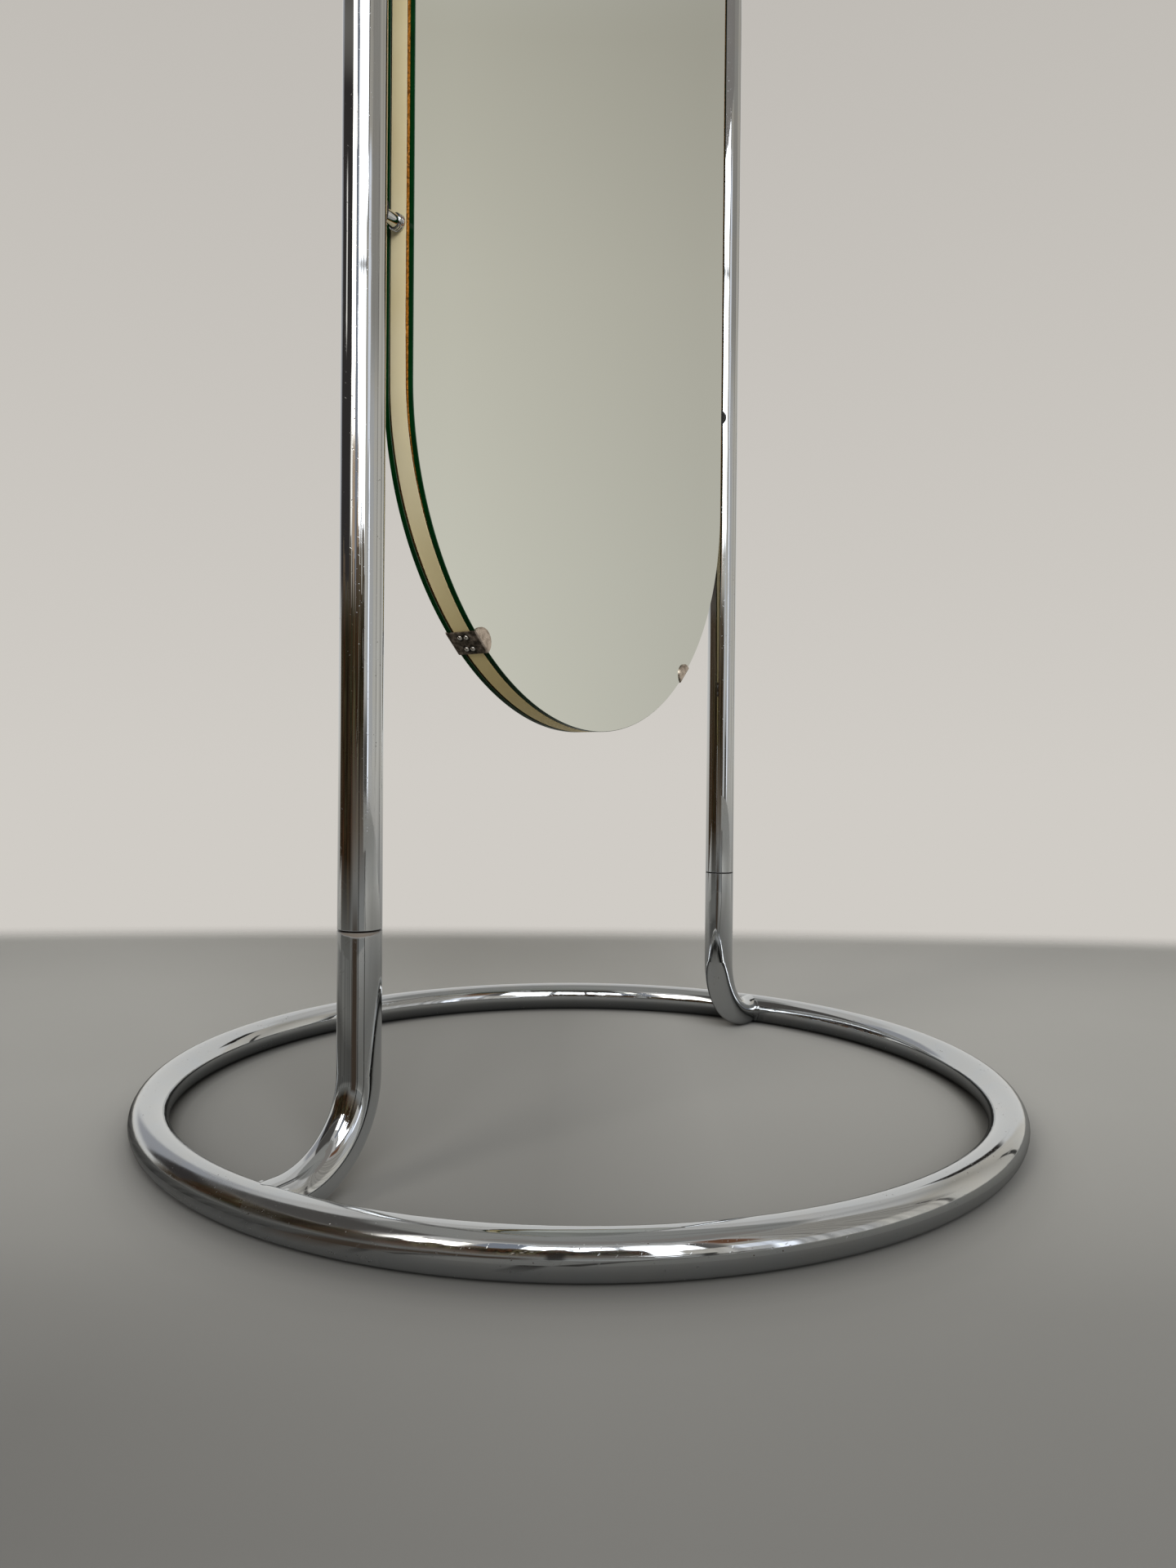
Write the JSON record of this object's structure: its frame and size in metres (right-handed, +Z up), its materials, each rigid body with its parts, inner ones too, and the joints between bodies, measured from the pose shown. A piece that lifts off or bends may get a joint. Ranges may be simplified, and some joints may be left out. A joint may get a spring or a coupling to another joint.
{
  "type": "full-length mirror",
  "caption": "Free-standing full-length double-sided mirror with round ends, pinned inside a bent chromed tube frame on a tubular ring base.",
  "frame": {"origin": "on the floor at the centre of the ring base", "axes": "+X from the left post to the right post as seen from the front, -Y out of the front glass, +Z up"},
  "size_m": [0.6149, 0.615, 1.7073],
  "materials": {
    "chromed_tube": "polished chrome on steel tube, lightly scratched and pitted",
    "bare_steel": "drawn, unplated",
    "chipboard": "raw chipboard edge",
    "edge_band": "cream melamine edging, yellowed",
    "mirror_glass": "silvered float glass with a ground edge",
    "aged_nickel": "aged nickel plate, mottled",
    "nail": "bright domed heads",
    "chromed_fitting": "polished chrome",
    "black_bush": "matt black"
  },
  "bodies": {
    "root": {"base_ring": "chromed_tube", "left_stub": "chromed_tube", "right_stub": "chromed_tube", "left_weld": "chromed_tube", "right_weld": "chromed_tube", "left_sleeve": "bare_steel", "right_sleeve": "bare_steel", "hoop": "chromed_tube", "core_board": "chipboard", "edge_band": "edge_band", "front_pane": "mirror_glass", "rear_pane": "mirror_glass", "lower_left_clip": "aged_nickel", "lower_right_clip": "aged_nickel", "upper_left_clip": "aged_nickel", "upper_right_clip": "aged_nickel", "clip_nails": "nail", "lower_left_pin": "chromed_fitting", "lower_right_pin": "chromed_fitting", "upper_left_pin": "chromed_fitting", "upper_right_pin": "chromed_fitting", "lower_left_collar": "chromed_fitting", "lower_right_collar": "chromed_fitting", "upper_left_collar": "chromed_fitting", "upper_right_collar": "chromed_fitting", "lower_left_bush": "black_bush", "lower_right_bush": "black_bush", "upper_left_bush": "black_bush", "upper_right_bush": "black_bush"}
  },
  "joints": []
}
